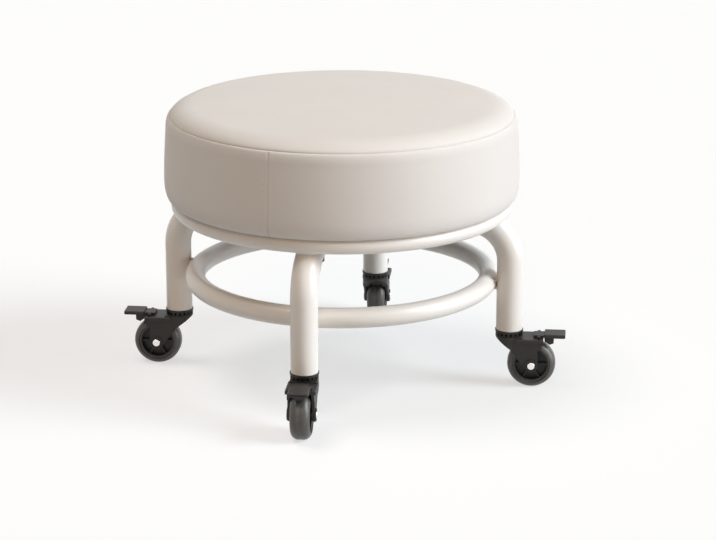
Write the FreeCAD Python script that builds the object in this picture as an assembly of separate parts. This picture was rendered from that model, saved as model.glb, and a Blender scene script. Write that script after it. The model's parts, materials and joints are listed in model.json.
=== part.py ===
# Low rolling stool: a round cushion on a welded tube frame with four braked swivel casters.
# Millimetres, +Z up, floor at z = 0, legs on the X and Y axes, origin under the seat's centre.
import FreeCAD
import Part
import math
import os

# Frame tubes; the legs stand in from the seat's edge, and heights rise from the legs' lower ends
seat_radius = 150.0
leg_inset = 7.5
leg_tube_diameter = 22.0
leg_tube_wall = 1.5
leg_rise = 92.3
leg_bend_radius = 34.4
leg_run_length = 46.1
lower_ring_tube_diameter = 16.6
lower_ring_rise = 39.2
upper_ring_tube_diameter = 12.7
ring_tube_wall = 1.2
upper_ring_seat_angle = 58.0
weld_gap = 0.05

# Cushion; tucks and margins are measured in from the seat's edge
seat_base_tuck = 6.0
seam_tuck = 9.0
side_band_height = 69.6
side_bulge = 0.7
base_rounding = 11.0
shoulder_height = 15.0
panel_edge_rise = 7.6
panel_edge_width = 20.0
panel_crown = 4.6
cover_thickness = 1.2
turn_under_width = 16.5
board_margin = 12.0
board_thickness = 12.0
dust_cover_thickness = 0.6
dust_cover_gap = 0.5

# Seat fastening
bolt_setback = 38.0
bolt_diameter = 6.0
bolt_hole_clearance = 0.3
bolt_head_diameter = 10.5
bolt_head_height = 3.6
bolt_socket_width = 4.0
bolt_socket_depth = 2.0
bolt_end_depth = 1.0
saddle_diameter = 14.0
saddle_floor = 2.0
tee_nut_barrel_diameter = 8.0
tee_nut_barrel_height = 9.0
tee_nut_flange_diameter = 17.0
tee_nut_flange_thickness = 1.5
end_cap_flange = 1.6
end_cap_plug_length = 9.0

# Caster, in its own frame: swivel axis at x = 0, wheel trailing along +x
caster_turn = 6.2
wheel_diameter = 40.0
wheel_trail = 19.0
tyre_width = 16.0
tyre_depth = 5.8
tyre_flat_width = 1.6
bead_width = 13.2
bead_height = 1.0
bead_step = 0.5
hub_rim_thickness = 1.1
hub_web_thickness = 4.0
hub_rib_count = 6
hub_rib_thickness = 1.6
hub_rib_width = 9.0
hub_boss_diameter = 10.4
bush_wall = 1.0
axle_diameter = 6.2
axle_clearance = 0.05
axle_stand_out = 0.8
axle_end_rounding = 0.7
wheel_side_clearance = 0.8
hub_side_clearance = 0.3
well_clearance = 1.5
cheek_thickness = 2.0
axle_boss_diameter = 10.6
axle_boss_height = 0.8
axle_boss_rim = 0.8
axle_boss_dish = 0.5
cheek_foot_radius = 5.8

# Swivel head
socket_length = 25.0
socket_flange_height = 1.6
socket_flange_overhang = 0.7
stem_diameter = 8.0
stem_length_in_socket = 23.0
stem_head_diameter = 11.0
stem_head_height = 1.9
swivel_clearance = 0.05
head_clearance = 0.1
head_side_clearance = 0.3
collar_diameter = 22.6
collar_height = 3.0
collar_gap = 0.4
collar_slot_count = 18
collar_slot_width = 1.8
collar_slot_height = 1.6
collar_slot_depth = 3.3
collar_slot_overrun = 1.0
ball_count = 12
ball_diameter = 3.0
ball_circle_radius = 7.5
ball_clearance = 0.1
hood_roof = 1.5
turntable_step = 1.0
turntable_land = 5.3

# Fork hood
hood_reach = 28.8
hood_start = 6.0
hood_width = 24.5
hood_thickness = 3.5
hood_rounding = 1.0
hood_lip_drop = 8.5
hood_lip_inset = 1.3
cheek_neck_inset = 4.6
cheek_neck_drop = 10.0
cheek_lead = 1.5
cheek_lead_drop = 10.5

# Brake pedal
pedal_pivot_x = 25.0
pivot_lift = 0.6
barrel_radius = 1.8
barrel_clearance = 0.3
ear_thickness = 2.6
pin_diameter = 2.0
pin_clearance = 0.05
arm_width = 12.0
arm_clearance = 0.3
arm_lift = 0.4
arm_tail = 4.4
arm_height = 2.0
arm_slot_depth = 0.9
pad_gap = 0.8
pad_lift = 0.4
pad_length = 17.4
pad_width = 16.4
pad_thickness = 3.3
pad_rounding = 0.9
groove_width = 11.6
groove_height = 1.1
groove_depth = 0.6
shoe_gap = 0.5
shoe_lean = 0.5
shoe_length = 8.1
shoe_rest_gap = 2.2
shoe_heel_rise = 1.6
shoe_top_width = 11.6
shoe_toe_width = 7.0
shoe_arc_start = 58.0
shoe_arc_end = 48.0

# Values that follow from the sizes above
LEG_ANGLES = {"right": 0.0, "back": 90.0, "left": 180.0, "front": 270.0}
leg_radius = leg_tube_diameter / 2
leg_bore_radius = leg_radius - leg_tube_wall
hood_top = wheel_diameter + well_clearance + hood_roof
turntable_top = hood_top + turntable_step
collar_bottom = turntable_top + collar_gap
collar_top = collar_bottom + collar_height
leg_end_height = collar_top + socket_flange_height
leg_run_height = leg_end_height + leg_rise
leg_circle_radius = seat_radius - leg_inset
bend_centre_radius = leg_circle_radius - leg_bend_radius
leg_inner_end_radius = bend_centre_radius - leg_run_length
bolt_circle_radius = leg_inner_end_radius + bolt_setback
bend_centre_height = leg_run_height - leg_bend_radius
lower_ring_tube_radius = lower_ring_tube_diameter / 2
lower_ring_radius = leg_circle_radius - leg_radius - lower_ring_tube_radius - weld_gap
lower_ring_height = leg_end_height + lower_ring_rise
upper_ring_tube_radius = upper_ring_tube_diameter / 2
ring_reach = leg_bend_radius + leg_radius + upper_ring_tube_radius + weld_gap
upper_ring_radius = bend_centre_radius + ring_reach * math.cos(math.radians(upper_ring_seat_angle))
upper_ring_height = bend_centre_height + ring_reach * math.sin(math.radians(upper_ring_seat_angle))
seat_base_height = upper_ring_height + upper_ring_tube_radius
seat_base_radius = seat_radius - seat_base_tuck
seam_radius = seat_radius - seam_tuck
board_radius = seat_radius - board_margin
seam_height = seat_base_height + side_band_height
board_bottom = seat_base_height + cover_thickness
board_top = board_bottom + board_thickness
dust_cover_radius = seat_base_radius - turn_under_width - dust_cover_gap
dust_cover_bottom = board_bottom - dust_cover_thickness
bolt_radius = bolt_diameter / 2

wheel_radius = wheel_diameter / 2
tyre_inner_radius = wheel_radius - tyre_depth
well_radius = wheel_radius + well_clearance
well_width = tyre_width + 2 * wheel_side_clearance
cheek_width = well_width + 2 * cheek_thickness
axle_boss_width = cheek_width + 2 * axle_boss_height
hub_width = well_width - 2 * hub_side_clearance
axle_radius = axle_diameter / 2
bush_bore_radius = axle_radius + axle_clearance
bush_radius = bush_bore_radius + bush_wall
collar_radius = collar_diameter / 2
ball_height = (collar_bottom + turntable_top) / 2
ball_radius = ball_diameter / 2
stem_radius = stem_diameter / 2
stem_seat = turntable_top - turntable_land
pivot_height = hood_top + pivot_lift
pin_radius = pin_diameter / 2
pad_start = hood_reach + pad_gap
shoe_start = hood_reach + shoe_gap
UP = FreeCAD.Vector(0, 0, 1)
ACROSS = FreeCAD.Vector(0, 1, 0)


def vec(x, y, z):
    return FreeCAD.Vector(x, y, z)


def cylinder(radius, bottom, top, x=0.0):
    """Upright cylinder between two heights."""
    return Part.makeCylinder(radius, top - bottom, vec(x, 0, bottom), UP)


def cross_cylinder(radius, width, x, z):
    """Cylinder along Y, centred on y = 0."""
    return Part.makeCylinder(radius, width, vec(x, -width / 2, z), ACROSS)


def block(x0, x1, width, z0, z1):
    """Box centred on y = 0."""
    return Part.makeBox(x1 - x0, width, z1 - z0, vec(x0, -width / 2, z0))


def line(a, b):
    return Part.LineSegment(a, b).toShape()


def arc(a, b, c):
    return Part.Arc(a, b, c).toShape()


def side_prism(edges, width):
    """Extrudes a closed outline in the XZ plane to a width centred on y = 0."""
    face = Part.Face(Part.Wire(edges))
    face.translate(vec(0, -width / 2, 0))
    return face.extrude(vec(0, width, 0))


def turned(edges):
    """Revolves an outline in the XZ plane once about Z."""
    return Part.Face(Part.Wire(edges)).revolve(vec(0, 0, 0), UP, 360)


def cut_all(shape, tools):
    for tool in tools:
        shape = shape.cut(tool)
    return shape


def fuse_all(shapes):
    whole = shapes[0].multiFuse(shapes[1:])
    return whole.removeSplitter()


def at_leg(shape, angle):
    """Places a shape made beside the +X leg at the leg with this angle."""
    placed = shape.copy()
    placed.rotate(vec(0, 0, 0), UP, angle)
    return placed


def at_caster(shape, angle):
    """Places a shape made in the caster's own frame under the leg with this angle."""
    placed = shape.copy()
    placed.rotate(vec(0, 0, 0), UP, caster_turn)
    placed.translate(vec(leg_circle_radius, 0, 0))
    return at_leg(placed, angle)


def at_every_leg(shape):
    """One group of four like solids, one at each leg."""
    return Part.makeCompound([at_leg(shape, angle) for angle in LEG_ANGLES.values()])


def leg_path():
    """Centre line of a leg: up, round the bend, in under the seat."""
    bend = math.radians(45)
    foot = vec(leg_circle_radius, 0, leg_end_height)
    knee = vec(leg_circle_radius, 0, bend_centre_height)
    middle = vec(bend_centre_radius + leg_bend_radius * math.cos(bend), 0,
                 bend_centre_height + leg_bend_radius * math.sin(bend))
    shoulder = vec(bend_centre_radius, 0, leg_run_height)
    end = vec(leg_inner_end_radius, 0, leg_run_height)
    return Part.Wire([line(foot, knee), arc(knee, middle, shoulder), line(shoulder, end)])


def leg_rod(radius):
    """Solid rod along the leg's centre line."""
    foot = vec(leg_circle_radius, 0, leg_end_height)
    section = Part.Wire([Part.Circle(foot, UP, radius).toShape()])
    return leg_path().makePipeShell([section], True, False)


def leg():
    tube = leg_rod(leg_radius).cut(leg_rod(leg_bore_radius))
    hole = cylinder(bolt_radius + bolt_hole_clearance, leg_run_height - leg_tube_diameter,
                    leg_run_height + leg_tube_diameter, x=bolt_circle_radius)
    return tube.cut(hole)


def ring(radius, tube_radius, height):
    """Closed hoop of round tube."""
    outer = Part.makeTorus(radius, tube_radius, vec(0, 0, height), UP)
    bore = Part.makeTorus(radius, tube_radius - ring_tube_wall, vec(0, 0, height), UP)
    return outer.cut(bore)


def leg_end_cap():
    """Push-in plug for the leg's inner end."""
    inward = vec(-1, 0, 0)
    end = vec(leg_inner_end_radius, 0, leg_run_height)
    flange = Part.makeCylinder(leg_radius, end_cap_flange, end, inward)
    plug = Part.makeCylinder(leg_bore_radius, end_cap_plug_length, end, vec(1, 0, 0))
    return fuse_all([flange, plug])


def cushion_side(inset):
    """Side outline of the cushion, from its base up to the seam, moved in by inset."""
    low = seat_base_height + base_rounding
    high = seam_height - shoulder_height
    edge = seat_radius - side_bulge - inset
    slant = math.sqrt(0.5)
    base = vec(seat_base_radius - inset / 2, 0, seat_base_height + inset)
    foot = vec(edge, 0, low)
    belly = vec(seat_radius - inset, 0, (low + high) / 2)
    chest = vec(edge, 0, high)
    seam = vec(seam_radius - inset, 0, seam_height - inset / 2)
    foot_round = vec(base.x + (edge - base.x) * slant, 0, low - (low - base.z) * slant)
    chest_round = vec(seam.x + (edge - seam.x) * slant, 0, high + (seam.z - high) * slant)
    return [arc(base, foot_round, foot), arc(foot, belly, chest), arc(chest, chest_round, seam)]


def cushion_top(inset):
    """Top outline from the seam over the rolled edge to the crown on the axis."""
    seam = vec(seam_radius - inset, 0, seam_height - inset / 2)
    rim_height = seam_height + panel_edge_rise - inset
    rim = vec(seam_radius - panel_edge_width, 0, rim_height)
    slant = math.sqrt(0.5)
    roll = vec(rim.x + (seam.x - rim.x) * slant, 0, seam.z + (rim.z - seam.z) * slant)
    crown = vec(0, 0, rim_height + panel_crown)
    dome_radius = (rim.x ** 2 + panel_crown ** 2) / (2 * panel_crown)
    half_way = rim.x / 2
    middle = vec(half_way, 0, crown.z - dome_radius + math.sqrt(dome_radius ** 2 - half_way ** 2))
    return [arc(seam, roll, rim), arc(rim, middle, crown)]


def cushion_body(inset):
    """Whole cushion as one solid, moved in by inset all round."""
    side = cushion_side(inset)
    top = cushion_top(inset)
    base = side[0].Vertexes[0].Point
    crown = top[-1].Vertexes[-1].Point
    centre = vec(0, 0, base.z)
    return turned(side + top + [line(crown, centre), line(centre, base)])


def cover():
    """Leather cover: top panel and side band, split at the seam."""
    shell = cushion_body(0).cut(cushion_body(cover_thickness))
    opening = cylinder(seat_base_radius - turn_under_width, seat_base_height - cover_thickness,
                       board_bottom)
    shell = shell.cut(opening)
    below = cylinder(2 * seat_radius, 0, seam_height)
    return shell.cut(below), shell.common(below)


def seat_foam():
    """Foam over the board and down round the board's edge."""
    return cushion_body(cover_thickness).cut(cylinder(board_radius, 0, board_top))


def seat_board():
    """Round plywood board with stepped holes for the tee nuts."""
    board = cylinder(board_radius, board_bottom, board_top)
    flange_seat = board_top - tee_nut_flange_thickness
    barrel_seat = flange_seat - tee_nut_barrel_height
    hole = fuse_all([
        cylinder(tee_nut_flange_diameter / 2, flange_seat, board_top, x=bolt_circle_radius),
        cylinder(tee_nut_barrel_diameter / 2, barrel_seat, flange_seat, x=bolt_circle_radius),
        cylinder(bolt_radius + bolt_hole_clearance, board_bottom, barrel_seat, x=bolt_circle_radius),
    ])
    return cut_all(board, [at_leg(hole, angle) for angle in LEG_ANGLES.values()])


def dust_cover():
    """Thin cloth disc under the board, inside the turned-under cover."""
    disc = cylinder(dust_cover_radius, dust_cover_bottom, board_bottom)
    hole = cylinder(bolt_radius + bolt_hole_clearance, dust_cover_bottom, board_bottom,
                    x=bolt_circle_radius)
    return cut_all(disc, [at_leg(hole, angle) for angle in LEG_ANGLES.values()])


def tee_nut():
    flange_seat = board_top - tee_nut_flange_thickness
    flange = cylinder(tee_nut_flange_diameter / 2, flange_seat, board_top, x=bolt_circle_radius)
    barrel = cylinder(tee_nut_barrel_diameter / 2, flange_seat - tee_nut_barrel_height, flange_seat,
                      x=bolt_circle_radius)
    bore = cylinder(bolt_radius, flange_seat - tee_nut_barrel_height, board_top, x=bolt_circle_radius)
    return fuse_all([flange, barrel]).cut(bore)


def saddle(bottom, top):
    """Round washer hollowed to sit on the leg's run."""
    disc = cylinder(saddle_diameter / 2, bottom, top, x=bolt_circle_radius)
    run = Part.makeCylinder(leg_radius, leg_circle_radius, vec(0, 0, leg_run_height), vec(1, 0, 0))
    hole = cylinder(bolt_radius + bolt_hole_clearance, bottom, top, x=bolt_circle_radius)
    return disc.cut(run).cut(hole)


def saddle_lip():
    """Height of the run's surface, over its centre line, at the saddle's rim."""
    return math.sqrt(leg_radius ** 2 - (saddle_diameter / 2) ** 2)


def upper_saddle():
    return saddle(leg_run_height + saddle_lip(), dust_cover_bottom)


def lower_saddle():
    return saddle(leg_run_height - leg_radius - saddle_floor, leg_run_height - saddle_lip())


def hexagon(width, height):
    """Upright six-sided prism on the origin, with its width across flats."""
    reach = width / math.sqrt(3)
    turns = [math.radians(60 * i) for i in range(7)]
    corners = [vec(reach * math.cos(turn), reach * math.sin(turn), 0) for turn in turns]
    return Part.Face(Part.makePolygon(corners)).extrude(vec(0, 0, height))


def seat_bolt():
    """Button-head bolt with a hexagon socket."""
    seat = leg_run_height - leg_radius - saddle_floor
    shank = cylinder(bolt_radius, seat, board_top - bolt_end_depth, x=bolt_circle_radius)
    head = cylinder(bolt_head_diameter / 2, seat - bolt_head_height, seat, x=bolt_circle_radius)
    lowest = min(head.Edges, key=lambda edge: edge.BoundBox.ZMin + edge.BoundBox.ZLength)
    head = head.makeFillet(bolt_head_height / 2, [lowest])
    socket = hexagon(bolt_socket_width, bolt_socket_depth)
    socket.translate(vec(bolt_circle_radius, 0, seat - bolt_head_height))
    return fuse_all([shank, head]).cut(socket)


def stem_socket():
    """Plug in the leg's end that takes the caster's stem."""
    plug = cylinder(leg_bore_radius, leg_end_height, leg_end_height + socket_length)
    flange = cylinder(leg_radius + socket_flange_overhang, collar_top, leg_end_height)
    bore = cylinder(stem_radius, collar_top, leg_end_height + socket_length)
    return fuse_all([plug, flange]).cut(bore)


def stem():
    """Stud with a riveted head under the fork."""
    head_top = stem_seat - head_clearance
    shank = cylinder(stem_radius, head_top, collar_top + stem_length_in_socket)
    head = cylinder(stem_head_diameter / 2, head_top - stem_head_height, head_top)
    return fuse_all([shank, head])


def ball_groove():
    return Part.makeTorus(ball_circle_radius, ball_radius + ball_clearance, vec(0, 0, ball_height), UP)


def swivel_collar():
    """Upper ball race with a ring of slots."""
    body = cylinder(collar_radius, collar_bottom, collar_top).cut(
        cylinder(stem_radius, collar_bottom, collar_top))
    body = body.cut(ball_groove())
    middle = (collar_bottom + collar_top) / 2
    slot = block(collar_radius - collar_slot_depth, collar_radius + collar_slot_overrun, collar_slot_width,
                 middle - collar_slot_height / 2, middle + collar_slot_height / 2)
    step = 360 / collar_slot_count
    return cut_all(body, [at_leg(slot, step * i) for i in range(collar_slot_count)])


def swivel_balls():
    ball = Part.makeSphere(ball_radius, vec(ball_circle_radius, 0, ball_height))
    step = 360 / ball_count
    return Part.makeCompound([at_leg(ball, step * i) for i in range(ball_count)])


def fork_side():
    """Side outline of the fork's two cheeks and the head between them."""
    foot = cheek_foot_radius
    neck_x = hood_reach - cheek_neck_inset
    neck_z = hood_top - cheek_neck_drop
    lip_x = hood_reach - hood_lip_inset
    lip_z = hood_top - hood_lip_drop
    lean = math.radians(225)
    front_foot = vec(wheel_trail + foot * math.cos(lean), 0, wheel_radius + foot * math.sin(lean))
    low_foot = vec(wheel_trail, 0, wheel_radius - foot)
    rear_foot = vec(wheel_trail + foot, 0, wheel_radius)
    lead = vec(cheek_lead, 0, turntable_top - cheek_lead_drop)
    collar_edge = vec(-collar_radius, 0, hood_top)
    rear_top = vec(hood_reach, 0, hood_top)
    front_top = vec(-collar_radius, 0, turntable_top)
    crest = vec(collar_radius, 0, turntable_top)
    crest_foot = vec(collar_radius, 0, hood_top)
    lip = vec(lip_x, 0, lip_z)
    neck = vec(neck_x, 0, neck_z)
    return [line(front_top, collar_edge), line(collar_edge, lead), line(lead, front_foot),
            arc(front_foot, low_foot, rear_foot), line(rear_foot, neck), line(neck, lip),
            line(lip, rear_top), line(rear_top, crest_foot), line(crest_foot, crest),
            line(crest, front_top)]


def fork_hood():
    """Wide hood over the wheel, rounded on top."""
    hood = block(hood_start, hood_reach, hood_width, hood_top - hood_thickness, hood_top)
    tops = [edge for edge in hood.Edges if edge.BoundBox.ZMin > hood_top - hood_thickness / 2]
    return hood.makeFillet(hood_rounding, tops)


def pedal_ear():
    """Lug that carries the pedal's pin, on the +Y side."""
    inner = arm_width / 2 + arm_clearance
    lug = Part.makeCylinder(barrel_radius, ear_thickness, vec(pedal_pivot_x, inner, pivot_height), ACROSS)
    web = Part.makeBox(2 * barrel_radius, ear_thickness, pivot_height - hood_top + hood_rounding,
                       vec(pedal_pivot_x - barrel_radius, inner, hood_top - hood_rounding))
    return lug.fuse(web)


def pedal_pocket():
    """Room in the hood's roof for the pedal's barrel and arm."""
    width = arm_width + 2 * arm_clearance
    barrel = cross_cylinder(barrel_radius + barrel_clearance, width, pedal_pivot_x, pivot_height)
    slot = block(pedal_pivot_x, 2 * hood_reach, width, hood_top - arm_slot_depth, pivot_height)
    return barrel.fuse(slot)


def boss_dish():
    """Shallow dishes round the axle's ends."""
    rim = axle_boss_diameter / 2 - axle_boss_rim
    whole = cross_cylinder(rim, axle_boss_width, wheel_trail, wheel_radius)
    return whole.cut(cross_cylinder(rim, axle_boss_width - 2 * axle_boss_dish, wheel_trail, wheel_radius))


def fork():
    """Moulded fork: head, hood, cheeks, axle bosses and pedal lugs."""
    round_head = cylinder(collar_radius, 0, leg_end_height)
    wheel_side = block(0, 2 * wheel_diameter, cheek_width, 0, leg_end_height)
    body = side_prism(fork_side(), collar_diameter).common(round_head.fuse(wheel_side))
    ear = pedal_ear()
    other_ear = ear.mirror(vec(0, 0, 0), ACROSS)
    boss = cross_cylinder(axle_boss_diameter / 2, axle_boss_width, wheel_trail, wheel_radius)
    body = fuse_all([body, fork_hood(), ear, other_ear, boss])
    return cut_all(body, [
        cross_cylinder(well_radius, well_width, wheel_trail, wheel_radius),
        cross_cylinder(axle_radius, axle_boss_width, wheel_trail, wheel_radius),
        cylinder(stem_radius + swivel_clearance, 0, leg_end_height),
        cylinder(stem_head_diameter / 2 + head_side_clearance, 0, stem_seat),
        ball_groove(),
        boss_dish(),
        pedal_pocket(),
        cross_cylinder(pin_radius, hood_width, pedal_pivot_x, pivot_height),
    ])


def wheel_axle():
    """Bright pin with rounded ends."""
    width = axle_boss_width + 2 * axle_stand_out
    pin = cross_cylinder(axle_radius, width, wheel_trail, wheel_radius)
    ends = [edge for edge in pin.Edges if edge.BoundBox.YLength < axle_radius]
    return pin.makeFillet(axle_end_rounding, ends)


def about_axle(shape):
    """Turns a shape made about Z onto the wheel's axle."""
    placed = shape.copy()
    placed.rotate(vec(0, 0, 0), vec(1, 0, 0), 90)
    placed.translate(vec(wheel_trail, 0, wheel_radius))
    return placed


def tyre():
    """Rounded tread over a stepped bead."""
    bead = bead_width / 2
    half = tyre_width / 2
    flat = tyre_flat_width / 2
    bead_top = tyre_inner_radius + bead_height
    shoulder = bead_top + bead_step
    slant = math.sqrt(0.5)
    bulge = vec(shoulder + (wheel_radius - shoulder) * slant, 0, flat + (half - flat) * slant)
    upper = [(tyre_inner_radius, bead), (bead_top, bead), (shoulder, half)]
    points = [vec(x, 0, z) for x, z in upper]
    mirrored = [vec(point.x, 0, -point.z) for point in points]
    tread_top = vec(wheel_radius, 0, flat)
    tread_low = vec(wheel_radius, 0, -flat)
    edges = [line(points[0], points[1]), line(points[1], points[2]),
             arc(points[2], bulge, tread_top), line(tread_top, tread_low),
             arc(tread_low, vec(bulge.x, 0, -bulge.z), mirrored[2]),
             line(mirrored[2], mirrored[1]), line(mirrored[1], mirrored[0]),
             line(mirrored[0], points[0])]
    return about_axle(turned(edges))


def centred_disc(radius, width):
    return cylinder(radius, -width / 2, width / 2)


def wheel_hub():
    """Ribbed wheel centre."""
    rim_bore = tyre_inner_radius - hub_rim_thickness
    rim = centred_disc(tyre_inner_radius, bead_width).cut(centred_disc(rim_bore, bead_width))
    web = centred_disc(rim_bore + hub_rim_thickness / 2, hub_web_thickness)
    boss = centred_disc(hub_boss_diameter / 2, hub_width)
    rib = block(0, rim_bore + hub_rim_thickness / 2, hub_rib_thickness, -hub_rib_width / 2, hub_rib_width / 2)
    step = 360 / hub_rib_count
    ribs = [at_leg(rib, step * i) for i in range(hub_rib_count)]
    hub = fuse_all([rim, web, boss] + ribs)
    return about_axle(hub.cut(centred_disc(bush_radius, hub_width)))


def wheel_bush():
    tube = centred_disc(bush_radius, hub_width).cut(centred_disc(bush_bore_radius, hub_width))
    return about_axle(tube)


def pedal_pin():
    width = arm_width + 2 * (arm_clearance + ear_thickness)
    return cross_cylinder(pin_radius, width, pedal_pivot_x, pivot_height)


def brake_shoe():
    """Tongue under the pad, hollowed to the tread and narrowing downwards."""
    reach = wheel_radius + shoe_rest_gap
    top = hood_top + pad_lift + pad_thickness / 2
    start, end = math.radians(shoe_arc_start), math.radians(shoe_arc_end)
    middle = (start + end) / 2
    heel = vec(wheel_trail + reach * math.cos(start), 0, wheel_radius + reach * math.sin(start))
    hollow = vec(wheel_trail + reach * math.cos(middle), 0, wheel_radius + reach * math.sin(middle))
    toe = vec(wheel_trail + reach * math.cos(end), 0, wheel_radius + reach * math.sin(end))
    back_top = vec(shoe_start, 0, top)
    foot_x = shoe_start + shoe_lean
    back_foot = vec(foot_x, 0, heel.z + (heel.x - foot_x))
    tip = vec(shoe_start + shoe_length, 0, toe.z + shoe_heel_rise)
    tip_top = vec(shoe_start + shoe_length, 0, top)
    edges = [line(back_top, back_foot), line(back_foot, heel), arc(heel, hollow, toe),
             line(toe, tip), line(tip, tip_top), line(tip_top, back_top)]
    tongue = side_prism(edges, shoe_top_width)
    sides = [vec(0, -shoe_top_width / 2, top), vec(0, -shoe_toe_width / 2, toe.z),
             vec(0, shoe_toe_width / 2, toe.z), vec(0, shoe_top_width / 2, top)]
    wedge = Part.Face(Part.makePolygon(sides + sides[:1])).extrude(vec(2 * wheel_diameter, 0, 0))
    return tongue.common(wedge)


def brake_pedal():
    """Pedal pad on its pivot arm, with the brake shoe underneath."""
    pad_bottom = hood_top + pad_lift
    arm_bottom = hood_top + arm_lift
    pad = block(pad_start, pad_start + pad_length, pad_width, pad_bottom, pad_bottom + pad_thickness)
    pad = pad.makeFillet(pad_rounding, pad.Edges)
    arm = block(pedal_pivot_x - arm_tail, pad_start + 2 * pad_rounding, arm_width,
                arm_bottom, arm_bottom + arm_height)
    barrel = cross_cylinder(barrel_radius, arm_width, pedal_pivot_x, pivot_height)
    end = pad_start + pad_length
    groove_z = pad_bottom + pad_thickness / 2
    groove = block(end - groove_depth, end + groove_depth, groove_width,
                   groove_z - groove_height / 2, groove_z + groove_height / 2)
    pin_bore = cross_cylinder(pin_radius + pin_clearance, hood_width, pedal_pivot_x, pivot_height)
    return fuse_all([pad, arm, barrel, brake_shoe()]).cut(groove).cut(pin_bore)


FIXED_PARTS = {
    "upper_ring": lambda: ring(upper_ring_radius, upper_ring_tube_radius, upper_ring_height),
    "lower_ring": lambda: ring(lower_ring_radius, lower_ring_tube_radius, lower_ring_height),
    "leg_end_caps": lambda: at_every_leg(leg_end_cap()),
    "seat_foam": seat_foam,
    "seat_board": seat_board,
    "seat_dust_cover": dust_cover,
    "seat_tee_nuts": lambda: at_every_leg(tee_nut()),
    "seat_bolts": lambda: at_every_leg(seat_bolt()),
    "seat_upper_saddles": lambda: at_every_leg(upper_saddle()),
    "seat_lower_saddles": lambda: at_every_leg(lower_saddle()),
}

CASTER_PARTS = {
    "stem_socket": stem_socket,
    "caster_stem": stem,
    "swivel_collar": swivel_collar,
    "swivel_balls": swivel_balls,
    "caster_fork": fork,
    "wheel_axle": wheel_axle,
    "wheel_hub": wheel_hub,
    "wheel_tyre": tyre,
    "wheel_bush": wheel_bush,
    "brake_pedal": brake_pedal,
    "pedal_pin": pedal_pin,
}


def save(name, shape):
    shape.exportStep(os.path.join("parts", name + ".step"))


def main():
    os.makedirs("parts", exist_ok=True)
    for name, make in FIXED_PARTS.items():
        save(name, make())
    top_panel, side_band = cover()
    save("seat_top_panel", top_panel)
    save("seat_side_band", side_band)
    first_leg = leg()
    for place, angle in LEG_ANGLES.items():
        save("leg_" + place, at_leg(first_leg, angle))
    for name, make in CASTER_PARTS.items():
        shape = make()
        for place, angle in LEG_ANGLES.items():
            save(name + "_" + place, at_caster(shape, angle))


main()
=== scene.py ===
import json
import math

import bmesh
import bpy
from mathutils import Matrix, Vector, noise
from mathutils.bvhtree import BVHTree


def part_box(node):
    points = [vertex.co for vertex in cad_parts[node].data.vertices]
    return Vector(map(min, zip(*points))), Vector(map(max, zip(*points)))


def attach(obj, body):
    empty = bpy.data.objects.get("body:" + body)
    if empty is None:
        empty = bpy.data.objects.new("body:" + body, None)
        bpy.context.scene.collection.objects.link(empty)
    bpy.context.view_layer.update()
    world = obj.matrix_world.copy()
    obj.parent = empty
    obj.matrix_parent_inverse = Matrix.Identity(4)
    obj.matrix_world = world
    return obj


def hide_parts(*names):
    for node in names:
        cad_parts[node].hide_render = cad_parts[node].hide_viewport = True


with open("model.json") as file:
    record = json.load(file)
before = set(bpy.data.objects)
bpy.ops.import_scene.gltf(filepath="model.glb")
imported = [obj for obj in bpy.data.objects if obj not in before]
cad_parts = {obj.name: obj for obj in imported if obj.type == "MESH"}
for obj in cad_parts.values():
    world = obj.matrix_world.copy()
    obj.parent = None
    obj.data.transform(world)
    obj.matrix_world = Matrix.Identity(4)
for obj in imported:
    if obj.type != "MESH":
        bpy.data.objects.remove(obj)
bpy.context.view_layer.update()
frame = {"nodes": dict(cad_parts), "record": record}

bl_info = {
    "name": "Rolling Stool",
    "version": (1, 0, 0),
    "blender": (4, 5, 0),
    "location": "3D View > Sidebar > Stool",
    "description": "Dresses a low rolling stool: leather cushion, enamelled tube frame, braked casters",
    "category": "Object",
}

MM = 0.001
FIT = 0.4 * MM
UP = Vector((0, 0, 1))
WHITE = (1, 1, 1, 1)
LEG_TURNS = (0.0, 90.0, 180.0, 270.0)
BAND_LOW, BAND_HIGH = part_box("seat_side_band")
BOARD_LOW, BOARD_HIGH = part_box("seat_board")
DUST_COVER_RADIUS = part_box("seat_dust_cover")[1][0]
UPPER_RING_LOW, UPPER_RING_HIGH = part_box("upper_ring")
LOWER_RING_LOW, LOWER_RING_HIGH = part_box("lower_ring")
LEG_LOW, LEG_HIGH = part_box("leg_right")
LEG_TUBE = (LEG_HIGH[1] - LEG_LOW[1]) / 2

# Steps along the cover's outline
FLAT_STEPS, ROLL_STEPS, SHOULDER_STEPS, WALL_STEPS, FOOT_STEPS, UNDER_STEPS = 24, 28, 20, 14, 16, 6
# How the top panel's edge rolls over: flat at first, then steep at the seam
ROLL_START, ROLL_END = 2.2, 0.7
# Filling the cover
FILL_STEPS, FILL_PRESSURE, EVEN_ROUNDS = 20, 4.0, 12
# Height of each kind of bead as a share of its width
STITCH_HEIGHT, STAPLE_HEIGHT, WELD_HEIGHT = 0.35, 0.9, 0.7
# A weld's steps, its size where it starts and stops, how long its ripples are for their pitch,
# and how closely it follows the round of the leg
WELD_STEPS, WELD_END_SIZE, WELD_OVERLAP, WELD_WRAP = 16, 0.35, 2.4, 0.5
FLOOR_REACH, LAMP_DISTANCE = 6.0, 3.0


def linear(code):
    """sRGB hex code to the linear colour that shaders use."""
    values = [int(code[i:i + 2], 16) / 255 for i in (0, 2, 4)]
    return [v / 12.92 if v <= 0.04045 else ((v + 0.055) / 1.055) ** 2.4 for v in values]


def length(label, words, millimetres):
    """Length property, given in millimetres and kept in metres."""
    return bpy.props.FloatProperty(name=label, description=words, default=millimetres * MM,
                                   subtype="DISTANCE", unit="LENGTH", precision=4)


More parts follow.
